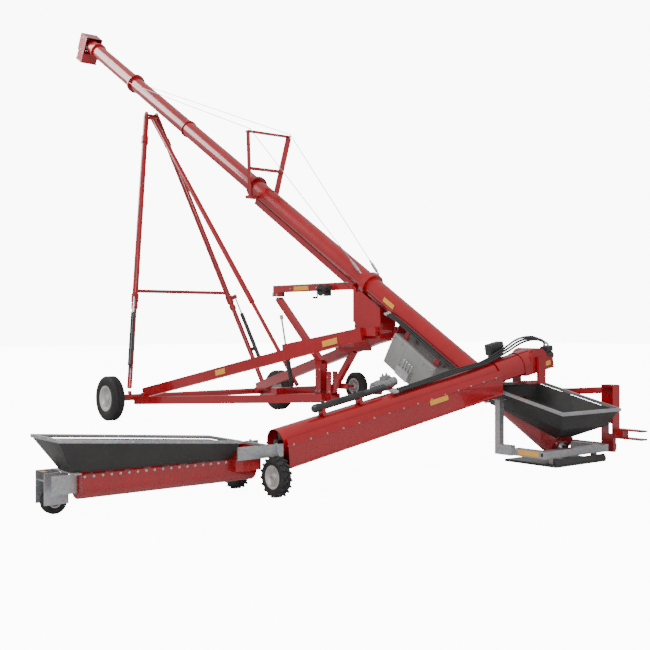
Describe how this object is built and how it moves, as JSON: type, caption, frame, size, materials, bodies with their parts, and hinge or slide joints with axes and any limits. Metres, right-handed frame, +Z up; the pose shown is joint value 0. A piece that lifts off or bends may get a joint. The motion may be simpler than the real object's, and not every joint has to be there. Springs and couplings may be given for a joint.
{
  "type": "grain auger",
  "caption": "Inclined grain auger on a two-wheel A-frame undercarriage, with a swinging feed auger that carries a low wheeled hopper.",
  "frame": {"origin": "on the ground, on the underside of the boot skid, below the main auger's axis", "axes": "+X along the plan direction of the main auger from boot to discharge head, +Y towards the mover hopper, +Z up"},
  "size_m": [12.1609, 7.3884, 7.2061],
  "materials": {
    "red_paint": "gloss enamel",
    "grey_paint": "satin grey enamel",
    "black_paint": "semi-gloss black enamel",
    "galvanised": "zinc coated, satin",
    "zinc_steel": "bright zinc plate",
    "bare_steel": "grain-polished steel",
    "chrome_rod": "hard chrome",
    "wire_rope": "galvanised wire rope",
    "black_poly": "moulded black polyethylene",
    "hose_rubber": "matt hose cover",
    "tyre_rubber": "dusty black rubber"
  },
  "bodies": {
    "main_auger": {"main_tube": "red_paint", "tube_bands": "red_paint", "discharge_head": "red_paint", "head_bearing": "zinc_steel", "boot_housing": "red_paint", "boot_bearing": "zinc_steel", "intake_hopper": "black_poly", "intake_rim": "galvanised", "boot_skid": "black_poly", "skid_frame": "galvanised", "hitch_post": "red_paint", "hitch_tongue": "red_paint", "hydraulic_tank": "grey_paint", "valve_bank": "zinc_steel", "tank_bracket": "red_paint", "track_rail": "red_paint", "cable_bridge": "red_paint", "stay_cables": "wire_rope", "turnbuckles": "zinc_steel", "lower_yoke": "red_paint", "lift_boom": "red_paint", "winch": "black_paint", "tube_hoses": "hose_rubber", "swing_post": "galvanised"},
    "main_screw": {"main_screw": "bare_steel"},
    "leg_frame": {"leg_left": "red_paint", "leg_right": "red_paint", "leg_crossbar": "red_paint", "centre_strut": "red_paint", "lift_rods": "chrome_rod"},
    "sliding_leg_left": {"lower_leg_left": "red_paint", "lift_barrel_left": "black_paint"},
    "sliding_leg_right": {"lower_leg_right": "red_paint", "lift_barrel_right": "black_paint"},
    "lower_frame": {"arm_left": "red_paint", "arm_right": "red_paint", "base_beam_left": "red_paint", "base_beam_right": "red_paint", "axle": "red_paint", "tower_plates": "red_paint", "tower_strut": "red_paint", "centre_cylinder": "black_paint"},
    "wheel_left": {"wheel_left": "tyre_rubber"},
    "wheel_right": {"wheel_right": "tyre_rubber"},
    "jack_wheel": {"jack_wheel": "tyre_rubber"},
    "swing_turret": {"swing_table": "red_paint"},
    "swing_auger": {"swing_tube": "red_paint", "swing_beam": "red_paint", "swing_hood": "red_paint", "swing_motor": "black_paint", "fold_cylinder": "black_paint", "swing_hoses": "hose_rubber"},
    "swing_screw": {"swing_flighting": "bare_steel"},
    "mover": {"hopper_trough": "red_paint", "mover_hopper": "black_poly", "mover_frame": "galvanised"},
    "hopper_screw": {"hopper_flighting": "bare_steel"},
    "drive_wheel_near": {"drive_wheel_near": "tyre_rubber"},
    "drive_wheel_far": {"drive_wheel_far": "tyre_rubber"},
    "caster_wheel": {"caster_wheel": "tyre_rubber"}
  },
  "joints": [
    {"name": "main_screw_spin", "type": "hinge", "parent": "main_auger", "child": "main_screw", "pos_m": [0, 0, 0.33], "axis": [0.8572, 0, 0.515], "continuous": true},
    {"name": "lower_frame_lift", "type": "hinge", "parent": "main_auger", "child": "lower_frame", "pos_m": [2.52, 0, 1.4], "axis": [0, 1, 0], "range_deg": [0, 3]},
    {"name": "leg_frame_pivot", "type": "hinge", "parent": "main_auger", "child": "leg_frame", "pos_m": [8.65, 0, 5.19744], "axis": [0, 1, 0], "range_deg": [-0.2526, 0]},
    {"name": "leg_slide_left", "type": "slide", "parent": "leg_frame", "child": "sliding_leg_left", "axis": [-0.3122, 0.2312, -0.9215], "range_m": [0, 0.2537]},
    {"name": "leg_slide_right", "type": "slide", "parent": "leg_frame", "child": "sliding_leg_right", "axis": [-0.3122, -0.2312, -0.9215], "range_m": [0, 0.2537]},
    {"name": "wheel_left_spin", "type": "hinge", "parent": "lower_frame", "child": "wheel_left", "pos_m": [7.04, 1.62, 0.345], "axis": [0, 1, 0], "continuous": true},
    {"name": "wheel_right_spin", "type": "hinge", "parent": "lower_frame", "child": "wheel_right", "pos_m": [7.04, -1.62, 0.345], "axis": [0, 1, 0], "continuous": true},
    {"name": "jack_wheel_spin", "type": "hinge", "parent": "lower_frame", "child": "jack_wheel", "pos_m": [3.38, -0.25, 0.64], "axis": [0, 1, 0], "continuous": true},
    {"name": "swing_turn", "type": "hinge", "parent": "main_auger", "child": "swing_turret", "pos_m": [0.15, 0, 0.83], "axis": [0, 0, 1], "range_deg": [-35, 60]},
    {"name": "swing_tilt", "type": "hinge", "parent": "swing_turret", "child": "swing_auger", "pos_m": [0.15, 0, 1.075], "axis": [1, 0, 0], "range_deg": [-1, 8]},
    {"name": "swing_screw_spin", "type": "hinge", "parent": "swing_auger", "child": "swing_screw", "pos_m": [0.15, 0, 1.075], "axis": [0, 0.9833, -0.1822], "continuous": true},
    {"name": "mover_fold", "type": "hinge", "parent": "swing_auger", "child": "mover", "pos_m": [0.15, 3.62, 0.41], "axis": [1, 0, 0], "range_deg": [-6, 10]},
    {"name": "hopper_screw_spin", "type": "hinge", "parent": "mover", "child": "hopper_screw", "pos_m": [0.15, 4, 0.235], "axis": [0, 1, 0], "continuous": true},
    {"name": "drive_wheel_near_spin", "type": "hinge", "parent": "mover", "child": "drive_wheel_near", "pos_m": [-0.16, 3.72, 0.178], "axis": [0, 1, 0], "continuous": true},
    {"name": "drive_wheel_far_spin", "type": "hinge", "parent": "mover", "child": "drive_wheel_far", "pos_m": [0.46, 3.72, 0.178], "axis": [0, 1, 0], "continuous": true},
    {"name": "caster_wheel_spin", "type": "hinge", "parent": "mover", "child": "caster_wheel", "pos_m": [0.346, 5.51, 0.105], "axis": [1, 0, 0], "continuous": true}
  ],
  "couplings": [
    {"joint": "leg_frame_pivot", "follows": "lower_frame_lift", "ratio": -0.08256},
    {"joint": "leg_slide_left", "follows": "lower_frame_lift", "m_per_rad": 4.751},
    {"joint": "leg_slide_right", "follows": "lower_frame_lift", "m_per_rad": 4.751}
  ]
}
